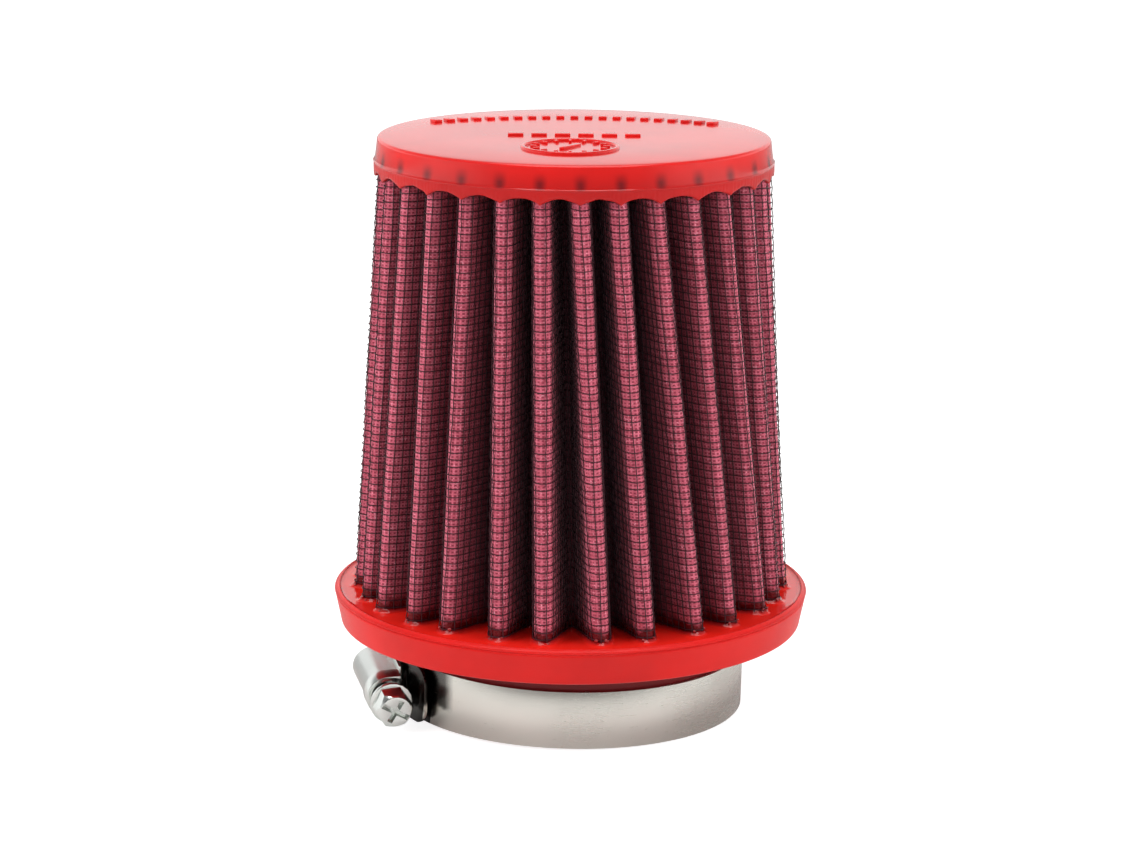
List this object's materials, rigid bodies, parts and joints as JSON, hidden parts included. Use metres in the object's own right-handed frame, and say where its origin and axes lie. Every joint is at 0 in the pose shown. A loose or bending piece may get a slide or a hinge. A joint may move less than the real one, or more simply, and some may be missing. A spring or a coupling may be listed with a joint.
{
  "type": "air filter",
  "caption": "Tapered pleated pod air filter with moulded red ends, wire-faced gauze pleats and a worm-drive clamp on its neck.",
  "frame": {"origin": "on the filter's axis, level with the lowest point of the clamp that the filter stands on", "axes": "+Z along the filter's axis from the neck to the cap, +Y away from the side where the clamp's screw head is reached"},
  "size_m": [0.1, 0.1, 0.1214],
  "materials": {
    "red_rubber": "glossy moulded polyurethane, slightly translucent",
    "black_wire": "black epoxy coated woven wire",
    "gauze": "oiled cotton gauze, dyed red",
    "band_steel": "smooth rolled stainless strip",
    "zinc_steel": "bright zinc plated"
  },
  "bodies": {
    "filter": {"end_cap": "red_rubber", "base_flange": "red_rubber", "outer_wire_mesh": "black_wire", "gauze_layer_1": "gauze", "gauze_layer_2": "gauze", "gauze_layer_3": "gauze", "gauze_layer_4": "gauze", "inner_wire_mesh": "black_wire", "media_seam_strip": "band_steel"},
    "clamp_drive": {"clamp_housing": "zinc_steel", "clamp_saddle": "band_steel", "clamp_band_fixed_end": "band_steel"},
    "screw": {"clamp_screw": "zinc_steel"},
    "running_band": {"clamp_band": "band_steel"}
  },
  "joints": [
    {"name": "clamp_swivel", "type": "hinge", "parent": "filter", "child": "clamp_drive", "pos_m": [0, 0, 0.0066], "axis": [0, 0, 1], "continuous": true},
    {"name": "screw_turn", "type": "hinge", "parent": "clamp_drive", "child": "screw", "pos_m": [-0.04027, -0.01117, 0.00723], "axis": [-0.2633, 0.9564, 0.126], "range_deg": [-900, 360]},
    {"name": "band_feed", "type": "hinge", "parent": "clamp_drive", "child": "running_band", "pos_m": [0, 0, 0.0066], "axis": [0.0157, 0, 0.9999], "range_deg": [-11.3, 4.52]}
  ],
  "couplings": [
    {"joint": "screw_turn", "follows": "band_feed", "ratio": 79.587}
  ]
}
